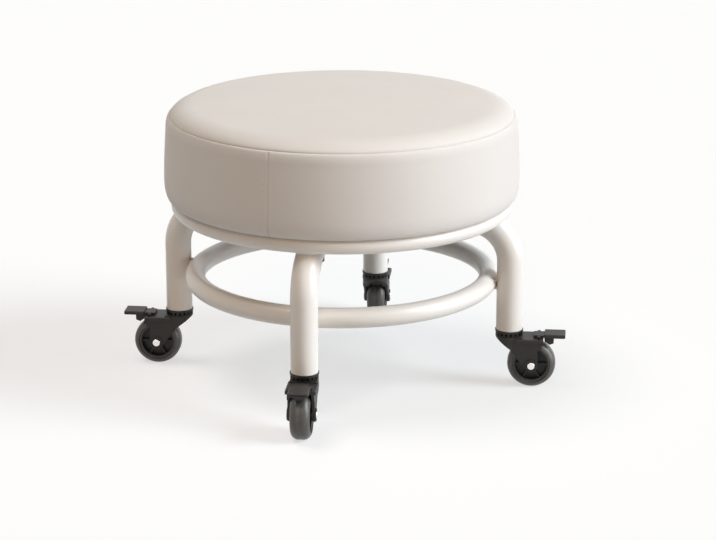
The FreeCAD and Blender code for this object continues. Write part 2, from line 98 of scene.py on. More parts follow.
def colour(label, words, code):
    """Colour property, given as an sRGB hex code."""
    return bpy.props.FloatVectorProperty(name=label, description=words, subtype="COLOR", size=3,
                                         min=0, max=1, default=linear(code))


def angle(label, words, degrees):
    """Angle property, given in degrees and kept in radians."""
    return bpy.props.FloatProperty(name=label, description=words, default=math.radians(degrees),
                                   subtype="ANGLE")


def light(label, words, level):
    """Light level property."""
    return bpy.props.FloatProperty(name=label, description=words, default=level, min=0)


class StoolCushionSizes(bpy.types.PropertyGroup):
    seam_radius: length("Seam radius", "Radius of the top seam", 142.3)
    seam_height: length("Seam height", "Height of the top seam over the cushion's base", 69.5)
    panel_rise: length("Panel rise", "How far the top panel's rolled edge rises from the seam", 8.8)
    rolled_edge: length("Rolled edge", "Width of the top panel's rolled edge", 20)
    crown: length("Crown", "Rise of the flat of the seat before it is filled", 1.0)
    edge_slack: length("Edge slack", "How far inside the seat's edge the unfilled side band is", 2.6)
    wall_lean: length("Wall lean", "How far the side band leans in towards the top seam", 2.0)
    shoulder: length("Shoulder", "Height of the side band's rounding under the top seam", 10)
    base_tuck: length("Base tuck", "How far the side band draws in at the frame", 5.6)
    base_round: length("Base rounding", "Height of the side band's lower rounding", 15)
    swell: length("Swell", "How far filling moves the cover where it gives most", 2.2)
    seam_depth: length("Seam depth", "Depth of the sewn valley along the top seam", 0.35)
    seam_width: length("Seam width", "Width of the sewn valley along the top seam", 0.8)
    upright_depth: length("Upright seam depth", "Depth of the side band's closing seam", 0.5)
    upright_angle: angle("Upright seam", "Where round the seat the side band is closed", 258.8)
    voxel: length("Voxel", "Cell of the mesh that is filled", 5.0)


class StoolTrimSizes(bpy.types.PropertyGroup):
    stitch_pitch: length("Stitch pitch", "Distance between stitches", 2.8)
    stitch_length: length("Stitch length", "Length of a stitch", 2.2)
    stitch_width: length("Stitch width", "Thickness of the thread", 0.45)
    stitch_offset: length("Stitch offset", "Distance of the stitches from the closing seam", 4.0)
    staple_pitch: length("Staple pitch", "Distance between staples under the seat", 26)
    staple_length: length("Staple length", "Crown of a staple", 10)
    staple_width: length("Staple width", "Width of the staple wire", 1.2)
    staple_inset: length("Staple inset", "Distance of the staples from the cover's inner edge", 2.5)
    weld_pitch: length("Weld pitch", "Distance between the ripples of a weld", 1.2)
    weld_width: length("Weld width", "Width of a weld bead", 3.6)


class StoolColours(bpy.types.PropertyGroup):
    leather: colour("Leather", "Coated leather of the seat", "E7E0D9")
    enamel: colour("Enamel", "Powder coat of the tube frame", "F3EDE5")
    fork_nylon: colour("Fork nylon", "Moulded forks and pedals", "2C2927")
    dark_nylon: colour("Dark nylon", "Moulded hubs, sockets, saddles and caps", "161514")
    tread: colour("Tread", "Rubber of the wheels", "504D4A")
    oxide: colour("Black oxide", "Blackened steel of the collars, stems and pins", "33312E")
    zinc: colour("Zinc", "Zinc-plated bolts, nuts, balls, bushes and staples", "B9BBBA")
    bright: colour("Bright steel", "Polished wheel axles", "F5F3F0")
    birch: colour("Birch", "Plywood of the seat board", "CDA977")
    dust_cloth: colour("Dust cloth", "Non-woven cloth under the seat", "2A2827")
    thread: colour("Thread", "Sewing thread", "E9E2DB")
    floor: colour("Floor", "Studio floor", "F6F5F3")


class StoolStage(bpy.types.PropertyGroup):
    azimuth: angle("Azimuth", "Camera's turn round the stool", 11.76)
    elevation: angle("Elevation", "Camera's height over the horizon", 16.70)
    distance: length("Distance", "Camera's distance from its aim", 2056.5)
    aim_right: length("Aim right", "Aim's distance right of the stool's axis", 13.35)
    aim_height: length("Aim height", "Aim's height over the floor", 91.0)
    focal: bpy.props.FloatProperty(name="Focal length", description="Lens, in millimetres",
                                   default=122.92, unit="CAMERA")
    side_strength: light("Side strength", "Side lamp, in watts per square metre", 2.55)
    side_turn: angle("Side turn", "Side lamp's turn to the camera's right", 75)
    side_height: angle("Side height", "Side lamp's height over the horizon", 35)
    side_colour: colour("Side colour", "Slightly cool light from the right", "EAF6FF")
    low_strength: light("Low strength", "Low lamp, in watts per square metre", 1.25)
    low_turn: angle("Low turn", "Low lamp's turn to the camera's right", 75)
    low_height: angle("Low height", "Low lamp's height over the horizon", 5)
    low_colour: colour("Low colour", "White light from low on the right", "FCF9FF")
    top_strength: light("Top strength", "Top lamp, in watts per square metre", 1.11)
    top_turn: angle("Top turn", "Top lamp's turn to the camera's right", -90)
    top_height: angle("Top height", "Top lamp's height over the horizon", 70)
    top_colour: colour("Top colour", "Slightly warm light from overhead", "FFFCF8")
    fill_strength: light("Fill strength", "Fill lamp, in watts per square metre", 0.48)
    fill_turn: angle("Fill turn", "Fill lamp's turn to the camera's right", -8)
    fill_height: angle("Fill height", "Fill lamp's height over the horizon", 44)
    fill_colour: colour("Fill colour", "Warm light from the front", "FFD3A2")
    softness: angle("Softness", "Width of each lamp in the sky", 30)
    sky: light("Sky", "Light from all round", 0.02)
    sky_colour: colour("Sky colour", "Slightly warm light from all round", "FFEBD6")
    bounce: light("Bounce", "Share of the floor's colour that the stool sees", 0.6)
    floor_seen: light("Floor seen", "Share of the floor's colour that the camera sees", 0.45)
    floor_glow: light("Floor glow", "Light that the camera sees besides on the floor", 0.6)


def in_use(sockets, name=None):
    """First socket that the node has in use, of this name if one is given."""
    return next(socket for socket in sockets if socket.enabled and name in (None, socket.name))


def set_inputs(tree, node, inputs):
    """Sets inputs by name or number, or links them to a socket or to another node's first output."""
    for name, value in inputs.items():
        target = node.inputs[name] if isinstance(name, int) else in_use(node.inputs, name)
        if isinstance(value, bpy.types.Node):
            value = in_use(value.outputs)
        if isinstance(value, bpy.types.NodeSocket):
            tree.links.new(value, target)
        else:
            target.default_value = value


def add_node(tree, kind, inputs=None, **settings):
    """Adds a node, sets its properties, and sets or links its inputs."""
    node = tree.nodes.new(kind)
    for name, value in settings.items():
        setattr(node, name, value)
    set_inputs(tree, node, inputs or {})
    return node


def new_material(name):
    """Empty node material with a Principled shader; returns material, tree and shader."""
    material = bpy.data.materials.new(name)
    material.use_nodes = True
    tree = material.node_tree
    tree.nodes.clear()
    shader = add_node(tree, "ShaderNodeBsdfPrincipled")
    add_node(tree, "ShaderNodeOutputMaterial", {"Surface": shader})
    return material, tree, shader


def shade(values, factor):
    """The same colour, lighter or darker."""
    return tuple(min(1.0, v * factor) for v in values) + (1.0,)


def per_metre(millimetres):
    """Texture scale for a pattern whose cells are this wide."""
    return 1000.0 / millimetres


def waves_per_metre(millimetres):
    """Wave texture scale for bands this far apart; the texture turns 20 radians to a unit."""
    return 2 * math.pi * per_metre(millimetres) / 20


def coated_leather(colours):
    """Coated leather, embossed with a fine pebble grain: soft sheen, faint drift, painted shade in the
    seams.
    """
    material, tree, shader = new_material("coated_leather")
    place = add_node(tree, "ShaderNodeTexCoord").outputs["Object"]
    drift = add_node(tree, "ShaderNodeTexNoise", {"Vector": place, "Scale": per_metre(45),
                                                  "Detail": 4.0, "Roughness": 0.55})
    tone = add_node(tree, "ShaderNodeMix",
                    {"Factor": drift, "A": shade(colours.leather, 0.955),
                     "B": shade(colours.leather, 1.02)}, data_type="RGBA")
    # Painted shade: the seams' valleys are darkened in the leather's colour, where shade would fall
    seam = add_node(tree, "ShaderNodeAttribute", attribute_name="seam").outputs["Fac"]
    sewn = add_node(tree, "ShaderNodeMix", {"Factor": seam, "A": tone,
                                            "B": shade(colours.leather, 0.42)}, data_type="RGBA")
    # The real grain is about 0.7 mm wide; it is drawn at 1.3 mm so that it shows
    pebble = add_node(tree, "ShaderNodeTexVoronoi", {"Vector": place, "Scale": per_metre(1.3)},
                      feature="SMOOTH_F1")
    crease = add_node(tree, "ShaderNodeTexNoise", {"Vector": place, "Scale": per_metre(9),
                                                   "Detail": 6.0})
    grain = add_node(tree, "ShaderNodeMath", {0: pebble, 1: crease}, operation="ADD")
    relief = add_node(tree, "ShaderNodeBump", {"Height": grain, "Distance": 0.10 * MM,
                                               "Strength": 0.55})
    rough = add_node(tree, "ShaderNodeMapRange", {"Value": crease, "To Min": 0.58, "To Max": 0.70})
    set_inputs(tree, shader, {"Base Color": sewn, "Normal": relief, "Roughness": rough,
                              "IOR": 1.48, "Sheen Weight": 0.06, "Sheen Roughness": 0.4})
    return material


def powder_coat(colours):
    """Powder-coated steel: satin film with a slight orange peel and a soft clear gloss."""
    material, tree, shader = new_material("powder_coat")
    place = add_node(tree, "ShaderNodeTexCoord").outputs["Object"]
    drift = add_node(tree, "ShaderNodeTexNoise", {"Vector": place, "Scale": per_metre(60),
                                                  "Detail": 4.0, "Roughness": 0.55})
    tone = add_node(tree, "ShaderNodeMix",
                    {"Factor": drift, "A": shade(colours.enamel, 0.975),
                     "B": shade(colours.enamel, 1.015)}, data_type="RGBA")
    peel = add_node(tree, "ShaderNodeTexNoise", {"Vector": place, "Scale": per_metre(1.6),
                                                 "Detail": 2.0})
    haze = add_node(tree, "ShaderNodeTexNoise", {"Vector": place, "Scale": per_metre(18),
                                                 "Detail": 3.0})
    relief = add_node(tree, "ShaderNodeBump", {"Height": peel, "Distance": 0.05 * MM,
                                               "Strength": 0.35})
    rough = add_node(tree, "ShaderNodeMapRange", {"Value": haze, "To Min": 0.30, "To Max": 0.42})
    set_inputs(tree, shader, {"Base Color": tone, "Normal": relief, "Roughness": rough,
                              "Coat Weight": 0.18, "Coat Roughness": 0.16})
    return material


def moulded_nylon(name, base, rough):
    """Moulded nylon: spark-eroded fine texture, slightly greyed where the skin is thin."""
    material, tree, shader = new_material(name)
    place = add_node(tree, "ShaderNodeTexCoord").outputs["Object"]
    drift = add_node(tree, "ShaderNodeTexNoise", {"Vector": place, "Scale": per_metre(7),
                                                  "Detail": 4.0, "Roughness": 0.55})
    tone = add_node(tree, "ShaderNodeMix", {"Factor": drift, "A": shade(base, 0.82),
                                            "B": shade(base, 1.2)}, data_type="RGBA")
    # The real texture is about 0.2 mm; it is drawn at 0.6 mm so that it shows
    spark = add_node(tree, "ShaderNodeTexNoise", {"Vector": place, "Scale": per_metre(0.6),
                                                  "Detail": 3.0})
    flow = add_node(tree, "ShaderNodeTexNoise", {"Vector": place, "Scale": per_metre(12),
                                                 "Detail": 2.0})
    relief = add_node(tree, "ShaderNodeBump", {"Height": spark, "Distance": 0.06 * MM,
                                               "Strength": 0.5})
    gloss = add_node(tree, "ShaderNodeMapRange", {"Value": flow, "To Min": rough - 0.06,
                                                  "To Max": rough + 0.08})
    set_inputs(tree, shader, {"Base Color": tone, "Normal": relief, "Roughness": gloss, "IOR": 1.42})
    return material


def tread_rubber(colours):
    """Wheel rubber: satin, with dusty scuffs along the tread."""
    material, tree, shader = new_material("tread_rubber")
    place = add_node(tree, "ShaderNodeTexCoord").outputs["Object"]
    scuff = add_node(tree, "ShaderNodeTexNoise", {"Vector": place, "Scale": per_metre(4),
                                                  "Detail": 7.0, "Roughness": 0.65})
    tone = add_node(tree, "ShaderNodeMix", {"Factor": scuff, "A": shade(colours.tread, 0.8),
                                            "B": shade(colours.tread, 1.25)}, data_type="RGBA")
    pores = add_node(tree, "ShaderNodeTexNoise", {"Vector": place, "Scale": per_metre(0.7),
                                                  "Detail": 4.0})
    relief = add_node(tree, "ShaderNodeBump", {"Height": pores, "Distance": 0.08 * MM,
                                               "Strength": 0.5})
    rough = add_node(tree, "ShaderNodeMapRange", {"Value": scuff, "To Min": 0.28, "To Max": 0.44})
    set_inputs(tree, shader, {"Base Color": tone, "Normal": relief, "Roughness": rough, "IOR": 1.52})
    return material


def plated_steel(name, base, rough, scratch):
    """Plated or polished steel: fine drawn scratches, this deep in millimetres, and a little haze."""
    material, tree, shader = new_material(name)
    place = add_node(tree, "ShaderNodeTexCoord").outputs["Object"]
    drawn = add_node(tree, "ShaderNodeMapping", {"Vector": place, "Scale": (1.0, 1.0, 0.12)})
    lines = add_node(tree, "ShaderNodeTexNoise", {"Vector": drawn, "Scale": per_metre(0.5),
                                                  "Detail": 5.0})
    drift = add_node(tree, "ShaderNodeTexNoise", {"Vector": place, "Scale": per_metre(5),
                                                  "Detail": 4.0, "Roughness": 0.55})
    tone = add_node(tree, "ShaderNodeMix", {"Factor": drift, "A": shade(base, 0.9),
                                            "B": shade(base, 1.05)}, data_type="RGBA")
    relief = add_node(tree, "ShaderNodeBump", {"Height": lines, "Distance": scratch * MM,
                                               "Strength": 1.0})
    gloss = add_node(tree, "ShaderNodeMapRange", {"Value": lines, "To Min": rough - 0.05,
                                                  "To Max": rough + 0.1})
    set_inputs(tree, shader, {"Base Color": tone, "Normal": relief, "Roughness": gloss,
                              "Metallic": 1.0})
    return material


def birch_plywood(colours):
    """Birch plywood: long face grain, and glue lines that show at the edge."""
    material, tree, shader = new_material("birch_plywood")
    place = add_node(tree, "ShaderNodeTexCoord").outputs["Object"]
    along = add_node(tree, "ShaderNodeMapping", {"Vector": place, "Scale": (0.06, 1.0, 1.0)})
    grain = add_node(tree, "ShaderNodeTexNoise", {"Vector": along, "Scale": per_metre(3),
                                                  "Detail": 6.0})
    plies = add_node(tree, "ShaderNodeTexWave", {"Vector": place, "Scale": waves_per_metre(2.4),
                                                 "Distortion": 0.4}, bands_direction="Z")
    face = add_node(tree, "ShaderNodeMix", {"Factor": grain, "A": shade(colours.birch, 0.72),
                                            "B": shade(colours.birch, 1.12)}, data_type="RGBA")
    tone = add_node(tree, "ShaderNodeMix", {"Factor": plies.outputs["Fac"], "A": face,
                                            "B": shade(colours.birch, 0.62)}, data_type="RGBA")
    relief = add_node(tree, "ShaderNodeBump", {"Height": grain, "Distance": 0.15 * MM,
                                               "Strength": 0.6})
    rough = add_node(tree, "ShaderNodeMapRange", {"Value": grain, "To Min": 0.55, "To Max": 0.72})
    set_inputs(tree, shader, {"Base Color": tone, "Normal": relief, "Roughness": rough})
    return material


def dust_cloth(colours):
    """Spun-bonded cloth: pressed dimples among loose dark fibres."""
    material, tree, shader = new_material("spun_bonded_cloth")
    place = add_node(tree, "ShaderNodeTexCoord").outputs["Object"]
    fibres = add_node(tree, "ShaderNodeTexNoise", {"Vector": place, "Scale": per_metre(1.4),
                                                   "Detail": 8.0, "Roughness": 0.7})
    dimples = add_node(tree, "ShaderNodeTexVoronoi", {"Vector": place, "Scale": per_metre(2.2)},
                       feature="F1")
    tone = add_node(tree, "ShaderNodeMix", {"Factor": fibres, "A": shade(colours.dust_cloth, 0.6),
                                            "B": shade(colours.dust_cloth, 1.7)}, data_type="RGBA")
    relief = add_node(tree, "ShaderNodeBump", {"Height": dimples, "Distance": 0.2 * MM,
                                               "Strength": 0.8})
    rough = add_node(tree, "ShaderNodeMapRange", {"Value": fibres, "To Min": 0.8, "To Max": 0.95})
    set_inputs(tree, shader, {"Base Color": tone, "Normal": relief, "Roughness": rough})
    return material


def sewing_thread(colours):
    """Bonded polyester thread: twisted, with a soft shine."""
    material, tree, shader = new_material("polyester_thread")
    place = add_node(tree, "ShaderNodeTexCoord").outputs["Object"]
    # The real twist is about 0.5 mm; it is drawn at 3.14 mm so that it shows
    wave = add_node(tree, "ShaderNodeTexWave", {"Vector": place, "Scale": waves_per_metre(3.14),
                                                "Distortion": 1.0}, bands_direction="DIAGONAL")
    twist = wave.outputs["Fac"]
    tone = add_node(tree, "ShaderNodeMix", {"Factor": twist, "A": shade(colours.thread, 0.86),
                                            "B": shade(colours.thread, 1.04)}, data_type="RGBA")
    relief = add_node(tree, "ShaderNodeBump", {"Height": twist, "Distance": 0.1 * MM,
                                               "Strength": 1.0})
    set_inputs(tree, shader, {"Base Color": tone, "Normal": relief, "Roughness": 0.5})
    return material


def make_finishes(colours):
    """Every finish of the stool by its slot in the record, and the thread."""
    return {
        "leather_cover": coated_leather(colours),
        "cream_enamel": powder_coat(colours),
        "charcoal_nylon": moulded_nylon("charcoal_nylon", colours.fork_nylon, 0.46),
        "black_nylon": moulded_nylon("black_nylon", colours.dark_nylon, 0.4),
        "grey_tread": tread_rubber(colours),
        "black_steel": plated_steel("black_oxide_steel", colours.oxide, 0.42, 0.03),
        "zinc_steel": plated_steel("zinc_plated_steel", colours.zinc, 0.36, 0.04),
        "bright_steel": plated_steel("polished_steel", colours.bright, 0.2, 0.02),
        "plywood": birch_plywood(colours),
        "dust_cloth": dust_cloth(colours),
        "thread": sewing_thread(colours),
    }


def new_piece(name, mesh):
    """Object for a mesh, linked to the scene and lying at the origin."""
    piece = bpy.data.objects.new(name, mesh)
    bpy.context.scene.collection.objects.link(piece)
    return piece


def finish_piece(piece, replaced=()):
    """Hangs a piece on the frame's body and hides the carried-over nodes that it stands for."""
    if replaced:
        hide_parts(*replaced)
    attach(piece, "frame")


def arc_points(centre, radii, start, end, count):
    """Points of an elliptic arc in the (r, z) plane, angles in degrees."""
    step = (end - start) / count
    turns = [math.radians(start + step * i) for i in range(count + 1)]
    return [(centre[0] + radii[0] * math.cos(t), centre[1] + radii[1] * math.sin(t)) for t in turns]


def seam_place(sizes):
    """Radius and height of the top seam, which filling the cover leaves where it is."""
    return sizes.seam_radius, BAND_LOW[2] + sizes.seam_height


def closer_steps(count):
    """Shares from nought to one that lie closer together towards one."""
    return [math.sin(math.pi / 2 * i / count) for i in range(count + 1)]


def panel_profile(sizes):
    """Top panel from the axis to the seam: a low crown that rolls down at its edge, as (r, z)."""
    seam_r, seam_z = seam_place(sizes)
    rim_r = seam_r - sizes.rolled_edge
    flat = [rim_r * i / FLAT_STEPS for i in range(FLAT_STEPS)]
    points = []
    for r in flat + [rim_r + sizes.rolled_edge * share for share in closer_steps(ROLL_STEPS)]:
        roll = max(0.0, (r - rim_r) / sizes.rolled_edge)
        edge_rise = sizes.panel_rise * (1 - roll ** ROLL_START) ** ROLL_END
        points.append((r, seam_z + sizes.crown * (1 - (r / seam_r) ** 2) + edge_rise))
    return points


def cushion_profile(sizes):
    """Outline of the cover from the crown to its turned-under edge, closed over the board, as (r, z)."""
    seam_r, seam_z = seam_place(sizes)
    edge = BAND_HIGH[0] - sizes.edge_slack
    base_z = BAND_LOW[2]
    base_r = edge - sizes.base_tuck
    wall_top = seam_z - sizes.shoulder
    foot_z = base_z + sizes.base_round
    wall_r = edge - sizes.wall_lean
    shoulder = arc_points((seam_r, wall_top), (wall_r - seam_r, sizes.shoulder), 90, 0, SHOULDER_STEPS)
    wall = [(wall_r + sizes.wall_lean * share, wall_top + (foot_z - wall_top) * i / WALL_STEPS)
            for i, share in enumerate(closer_steps(WALL_STEPS))][1:-1]
    foot = arc_points((base_r, foot_z), (edge - base_r, sizes.base_round), 0, -90, FOOT_STEPS)
    turn_r = DUST_COVER_RADIUS + FIT
    under = [(base_r + (turn_r - base_r) * i / UNDER_STEPS, base_z) for i in range(1, UNDER_STEPS + 1)]
    board_r = BOARD_HIGH[0] + FIT
    sole_z = BOARD_LOW[2] - FIT / 4
    lid_z = BOARD_HIGH[2] + FIT
    recess = [(turn_r, sole_z), (board_r, sole_z), (board_r, lid_z), (board_r / 2, lid_z), (0.0, lid_z)]
    return panel_profile(sizes) + shoulder[1:] + wall + foot + under + recess


def band_angles(centre, fine_step, fine_count, coarse):
    """Angles round the seat, closer together at the upright seam."""
    span = fine_step * fine_count
    fine = [centre + fine_step * (i - fine_count / 2) for i in range(fine_count)]
    start = centre + span / 2
    rest = 2 * math.pi - span
    return fine + [start + rest * i / coarse for i in range(coarse)]


def lathe(name, profile, angles):
    """Closed turned mesh from an outline that starts and ends on the axis."""
    mesh = bpy.data.meshes.new(name)
    shape = bmesh.new()
    rings = []
    for r, z in profile:
        spots = [(r * math.cos(a), r * math.sin(a), z) for a in angles] if r > MM / 1000 else [(0, 0, z)]
        rings.append([shape.verts.new(spot) for spot in spots])
    count = len(angles)
    for upper, lower in zip(rings, rings[1:]):
        for i in range(count):
            j = (i + 1) % count
            corners = (upper[i % len(upper)], lower[i % len(lower)],
                       lower[j % len(lower)], upper[j % len(upper)])
            shape.faces.new(list(dict.fromkeys(corners)))
    bmesh.ops.recalc_face_normals(shape, faces=shape.faces)
    for face in shape.faces:
        face.smooth = True
    shape.to_mesh(mesh)
    shape.free()
    return mesh


def remeshed_copy(mesh, voxel):
    """Even copy of the cover, in small cells, that can be filled."""
    copy = new_piece("cushion_fill", mesh.copy())
    remesh = copy.modifiers.new("Remesh", "REMESH")
    remesh.mode = "VOXEL"
    remesh.voxel_size = voxel
    graph = bpy.context.evaluated_depsgraph_get()
    even = bpy.data.meshes.new_from_object(copy.evaluated_get(graph))
    copy.modifiers.remove(remesh)
    copy.data = even
    return copy


def hold_seams(fill, sizes):
    """Pins the filled mesh along the top seam, under the seat and over the board."""
    seam_r, seam_z = seam_place(sizes)
    reach = sizes.voxel * 1.2
    group = fill.vertex_groups.new(name="held")
    for vertex in fill.data.vertices:
        x, y, z = vertex.co
        r = math.hypot(x, y)
        on_seam = math.hypot(r - seam_r, z - seam_z) < reach
        inside = r < BOARD_HIGH[0] + reach and z < BOARD_HIGH[2] + reach
        if on_seam or inside or z < BAND_LOW[2] + reach:
            group.add([vertex.index], 1.0, "REPLACE")


def fill_cover(fill, sizes):
    """Blows the cover up a little with cloth pressure and returns how far each point moved."""
    hold_seams(fill, sizes)
    cloth = fill.modifiers.new("Cloth", "CLOTH")
    cloth.settings.vertex_group_mass = "held"
    cloth.settings.use_pressure = True
    cloth.settings.uniform_pressure_force = FILL_PRESSURE
    cloth.settings.effector_weights.gravity = 0.0
    cloth.settings.tension_stiffness = 25.0
    cloth.settings.bending_stiffness = 2.0
    cloth.point_cache.frame_end = FILL_STEPS
    scene = bpy.context.scene
    for step in range(1, FILL_STEPS + 1):
        scene.frame_set(step)
    graph = bpy.context.evaluated_depsgraph_get()
    filled = fill.evaluated_get(graph).to_mesh()
    moves = [after.co - before.co for before, after in zip(fill.data.vertices, filled.vertices)]
    fill.modifiers.remove(cloth)
    scene.frame_set(1)
    moves = evened(fill.data, moves, EVEN_ROUNDS)
    most = max(move.length for move in moves)
    if most < MM / 10:
        raise RuntimeError("the cover was not filled")
    return [move * (sizes.swell / most) for move in moves]


def evened(mesh, moves, rounds):
    """Averages each point's movement with its neighbours', as firm foam under leather does."""
    neighbours = [[] for _ in mesh.vertices]
    for edge in mesh.edges:
        first, second = edge.vertices
        neighbours[first].append(second)
        neighbours[second].append(first)
    for _ in range(rounds):
        moves = [(move + sum((moves[j] for j in near), Vector()) / len(near)) / 2
                 for move, near in zip(moves, neighbours)]
    return moves


def surface_tree(mesh):
    """Search tree of a mesh's faces."""
    return BVHTree.FromPolygons([v.co for v in mesh.vertices], [list(p.vertices) for p in mesh.polygons])


def carry_swell(mesh, fill, moves):
    """Moves each point of the cover as the filled mesh under it moved."""
    tree = surface_tree(fill.data)
    for vertex in mesh.vertices:
        spot, _, index, _ = tree.find_nearest(vertex.co)
        corners = fill.data.polygons[index].vertices
        weights = [1.0 / ((fill.data.vertices[i].co - spot).length + MM / 100) for i in corners]
        total = sum(weights)
        vertex.co += sum((moves[i] * w for i, w in zip(corners, weights)), Vector()) / total


def hump(distance, width):
    """One at nought, falling smoothly away over a width."""
    return math.exp(-(distance / width) ** 2)


def sew(mesh, sizes):
    """Presses the sewn valleys into the cover and marks them with painted shade for the leather's colour.
    """
    pucker_height, pucker_reach, puckers_per_metre = 0.08 * MM, 9 * MM, 60.0
    line_width, ridge_height, ridge_offset, ridge_width = 0.7 * MM, 0.1 * MM, 2.2 * MM, 1.3 * MM
    # Painted shade that darkens the leather along the top seam and the upright seam, and how much of the
    # upright seam stays at its middle
    top_seam_painted_shade, upright_seam_painted_shade, line_least = 0.15, 0.35, 0.2
    press_out, press_up = 0.6, 0.8
    seam_r, seam_z = seam_place(sizes)
    painted_seam_shade = mesh.attributes.new("seam", "FLOAT", "POINT")
    upright = Vector((math.cos(sizes.upright_angle), math.sin(sizes.upright_angle)))
    for vertex in mesh.vertices:
        x, y, z = vertex.co
        r = max(math.hypot(x, y), MM / 1000)
        outward = Vector((x / r, y / r, 0))
        gap = math.hypot(r - seam_r, z - seam_z)
        valley = hump(gap, sizes.seam_width)
        waver = noise.noise(Vector((x, y, 0)) * puckers_per_metre)
        pucker = waver * hump(gap, pucker_reach) * pucker_height
        push = (outward * press_out + UP * press_up) * (pucker - valley * sizes.seam_depth)
        across = (outward.x * upright.y - outward.y * upright.x) * r
        facing = outward.x * upright.x + outward.y * upright.y
        line = 0.0
        if facing > 0 and BAND_LOW[2] - MM < z < seam_z - MM and r > BOARD_HIGH[0]:
            height = (z - BAND_LOW[2]) / (seam_z - BAND_LOW[2])
            ends = line_least + (1 - line_least) * abs(2 * height - 1) ** 4
            line = hump(across, line_width) * ends
            ridge = hump(abs(across) - ridge_offset, ridge_width)
            push += outward * (ridge_height * ridge - sizes.upright_depth * line)
        vertex.co += push
        # Painted shade in the valleys, strongest near the upright seam's ends
        painted_seam_shade.data[vertex.index].value = min(1.0, valley * top_seam_painted_shade + line * upright_seam_painted_shade)


def bead_tree():
    """Node tree that lays small lens-shaped beads along a path: stitches, staples and weld ripples."""
    tree = bpy.data.node_groups.new("beads_along_path", "GeometryNodeTree")
    sockets = tree.interface
    sockets.new_socket("Geometry", in_out="INPUT", socket_type="NodeSocketGeometry")
    for name in ("Pitch", "Length", "Width", "Height"):
        sockets.new_socket(name, in_out="INPUT", socket_type="NodeSocketFloat")
    sockets.new_socket("Material", in_out="INPUT", socket_type="NodeSocketMaterial")
    sockets.new_socket("Geometry", in_out="OUTPUT", socket_type="NodeSocketGeometry")
    given = add_node(tree, "NodeGroupInput").outputs
    path = add_node(tree, "GeometryNodeMeshToCurve", {"Mesh": given["Geometry"]})
    even = add_node(tree, "GeometryNodeResampleCurve", {"Curve": path, "Length": given["Pitch"]},
                    mode="LENGTH")
    tangent = add_node(tree, "GeometryNodeInputTangent")
    facing = add_node(tree, "GeometryNodeInputNamedAttribute", {"Name": "facing"},
                      data_type="FLOAT_VECTOR")
    along = add_node(tree, "FunctionNodeAlignRotationToVector", {"Vector": tangent}, axis="X")
    upright = add_node(tree, "FunctionNodeAlignRotationToVector",
                       {"Rotation": along, "Vector": facing}, axis="Z", pivot_axis="X")
    ball = add_node(tree, "GeometryNodeMeshUVSphere", {"Segments": 10, "Rings": 6, "Radius": 0.5})
    full = add_node(tree, "ShaderNodeCombineXYZ", {"X": given["Length"], "Y": given["Width"],
                                                   "Z": given["Height"]})
    taper = add_node(tree, "ShaderNodeVectorMath", {0: facing}, operation="LENGTH")
    size = add_node(tree, "ShaderNodeVectorMath", {0: full, "Scale": taper.outputs["Value"]},
                    operation="SCALE")
    beads_on = add_node(tree, "GeometryNodeInstanceOnPoints",
                        {"Points": even, "Instance": ball, "Rotation": upright, "Scale": size})
    real = add_node(tree, "GeometryNodeRealizeInstances", {"Geometry": beads_on})
    smooth = add_node(tree, "GeometryNodeSetShadeSmooth", {"Geometry": real})
    dressed = add_node(tree, "GeometryNodeSetMaterial", {"Geometry": smooth,
                                                         "Material": given["Material"]})
    add_node(tree, "NodeGroupOutput", {"Geometry": dressed})
    return tree


def path_mesh(name, runs):
    """Mesh of runs of (point, facing) pairs; the facing is an attribute whose length is a taper."""
    points, edges, facings = [], [], []
    for run in runs:
        first = len(points)
        points += [point for point, _ in run]
        facings += [facing for _, facing in run]
        edges += [(first + i, first + i + 1) for i in range(len(run) - 1)]
    mesh = bpy.data.meshes.new(name)
    mesh.from_pydata(points, edges, [])
    kept = mesh.attributes.new("facing", "FLOAT_VECTOR", "POINT")
    for i, facing in enumerate(facings):
        kept.data[i].vector = facing
    return mesh


def beads(name, runs, sizes, material):
    """Plain mesh of beads laid along runs; sizes are pitch, length, width and height in metres."""
    tree = bpy.data.node_groups.get("beads_along_path") or bead_tree()
    piece = new_piece(name, path_mesh(name + "_path", runs))
    nodes = piece.modifiers.new("Beads", "NODES")
    nodes.node_group = tree
    values = dict(zip(("Pitch", "Length", "Width", "Height"), sizes))
    values["Material"] = material
    for item in tree.interface.items_tree:
        if item.in_out == "INPUT" and item.name in values:
            nodes[item.identifier] = values[item.name]
    graph = bpy.context.evaluated_depsgraph_get()
    mesh = bpy.data.meshes.new_from_object(piece.evaluated_get(graph))
    if not mesh.polygons:
        raise RuntimeError(name + " came out empty")
    mesh.name = name
    piece.modifiers.remove(nodes)
    piece.data = mesh
    return piece


def leg_frame(turn):
    """Outward and sideways directions at a leg that stands at a turn in degrees."""
    a = math.radians(turn)
    return Vector((math.cos(a), math.sin(a), 0)), Vector((-math.sin(a), math.cos(a), 0))


def across_leg(share):
    """Places across a share of a leg: sideways distance, how far the tube falls away, size of bead."""
    for i in range(WELD_STEPS + 1):
        s = (2 * i / WELD_STEPS - 1) * LEG_TUBE * share
        taper = WELD_END_SIZE + (1 - WELD_END_SIZE) * math.sqrt(math.sin(math.pi * i / WELD_STEPS))
        yield s, LEG_TUBE - math.sqrt(LEG_TUBE ** 2 - s ** 2), taper


